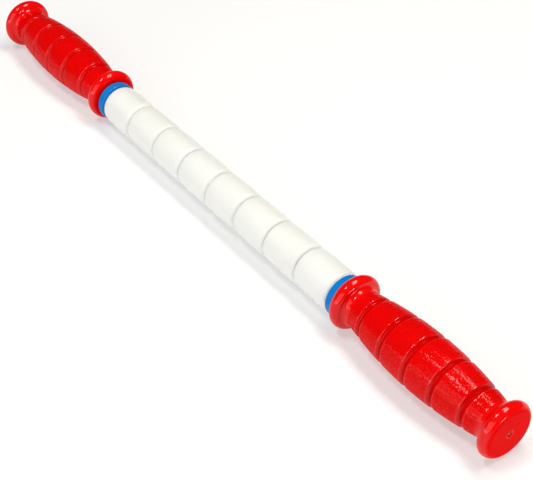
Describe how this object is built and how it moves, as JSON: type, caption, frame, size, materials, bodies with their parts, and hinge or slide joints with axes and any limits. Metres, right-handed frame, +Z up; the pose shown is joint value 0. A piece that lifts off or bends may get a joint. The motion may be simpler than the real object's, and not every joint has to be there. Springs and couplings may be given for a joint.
{
  "type": "massage roller stick",
  "caption": "Hand-held muscle massage stick: white barrel rollers spin freely on a flexible rod between two grooved red grips.",
  "frame": {"origin": "middle of the core rod, on its axis, which is the centre of the whole stick's box", "axes": "+X along the rod towards grip_right, +Z up with the stick lying on the flanges of its grips, rollers hanging down"},
  "size_m": [0.4346, 0.0296, 0.0296],
  "materials": {
    "core_rod": "natural nylon, satin",
    "roller": "moulded polyethylene, satin, slightly translucent",
    "spacer_washer": "moulded plastic, semi-gloss",
    "grip": "soft vinyl, glossy, fine pebble grain on the barrel",
    "handle_sleeve": "rigid plastic tube, satin",
    "cross_pin": "rolled spring steel"
  },
  "bodies": {
    "handle_and_rod": {"core_rod": "core_rod", "handle_sleeve_left": "handle_sleeve", "handle_sleeve_right": "handle_sleeve", "cross_pin_left": "cross_pin", "cross_pin_right": "cross_pin", "grip_left": "grip", "grip_right": "grip"},
    "roller_1": {"roller_1": "roller"},
    "roller_2": {"roller_2": "roller"},
    "roller_3": {"roller_3": "roller"},
    "roller_4": {"roller_4": "roller"},
    "roller_5": {"roller_5": "roller"},
    "roller_6": {"roller_6": "roller"},
    "roller_7": {"roller_7": "roller"},
    "roller_8": {"roller_8": "roller"},
    "spacer_washer_left": {"spacer_washer_left": "spacer_washer"},
    "spacer_washer_right": {"spacer_washer_right": "spacer_washer"}
  },
  "joints": [
    {"name": "roller_1_spin", "type": "hinge", "parent": "handle_and_rod", "child": "roller_1", "pos_m": [-0.08995, 0, -0.0014], "axis": [1, 0, 0], "continuous": true},
    {"name": "roller_2_spin", "type": "hinge", "parent": "handle_and_rod", "child": "roller_2", "pos_m": [-0.06425, 0, -0.0014], "axis": [1, 0, 0], "continuous": true},
    {"name": "roller_3_spin", "type": "hinge", "parent": "handle_and_rod", "child": "roller_3", "pos_m": [-0.03855, 0, -0.0014], "axis": [1, 0, 0], "continuous": true},
    {"name": "roller_4_spin", "type": "hinge", "parent": "handle_and_rod", "child": "roller_4", "pos_m": [-0.01285, 0, -0.0014], "axis": [1, 0, 0], "continuous": true},
    {"name": "roller_5_spin", "type": "hinge", "parent": "handle_and_rod", "child": "roller_5", "pos_m": [0.01285, 0, -0.0014], "axis": [1, 0, 0], "continuous": true},
    {"name": "roller_6_spin", "type": "hinge", "parent": "handle_and_rod", "child": "roller_6", "pos_m": [0.03855, 0, -0.0014], "axis": [1, 0, 0], "continuous": true},
    {"name": "roller_7_spin", "type": "hinge", "parent": "handle_and_rod", "child": "roller_7", "pos_m": [0.06425, 0, -0.0014], "axis": [1, 0, 0], "continuous": true},
    {"name": "roller_8_spin", "type": "hinge", "parent": "handle_and_rod", "child": "roller_8", "pos_m": [0.08995, 0, -0.0014], "axis": [1, 0, 0], "continuous": true},
    {"name": "spacer_washer_left_spin", "type": "hinge", "parent": "handle_and_rod", "child": "spacer_washer_left", "pos_m": [-0.10555, 0, -0.0014], "axis": [1, 0, 0], "continuous": true},
    {"name": "spacer_washer_right_spin", "type": "hinge", "parent": "handle_and_rod", "child": "spacer_washer_right", "pos_m": [0.10555, 0, -0.0014], "axis": [1, 0, 0], "continuous": true}
  ]
}
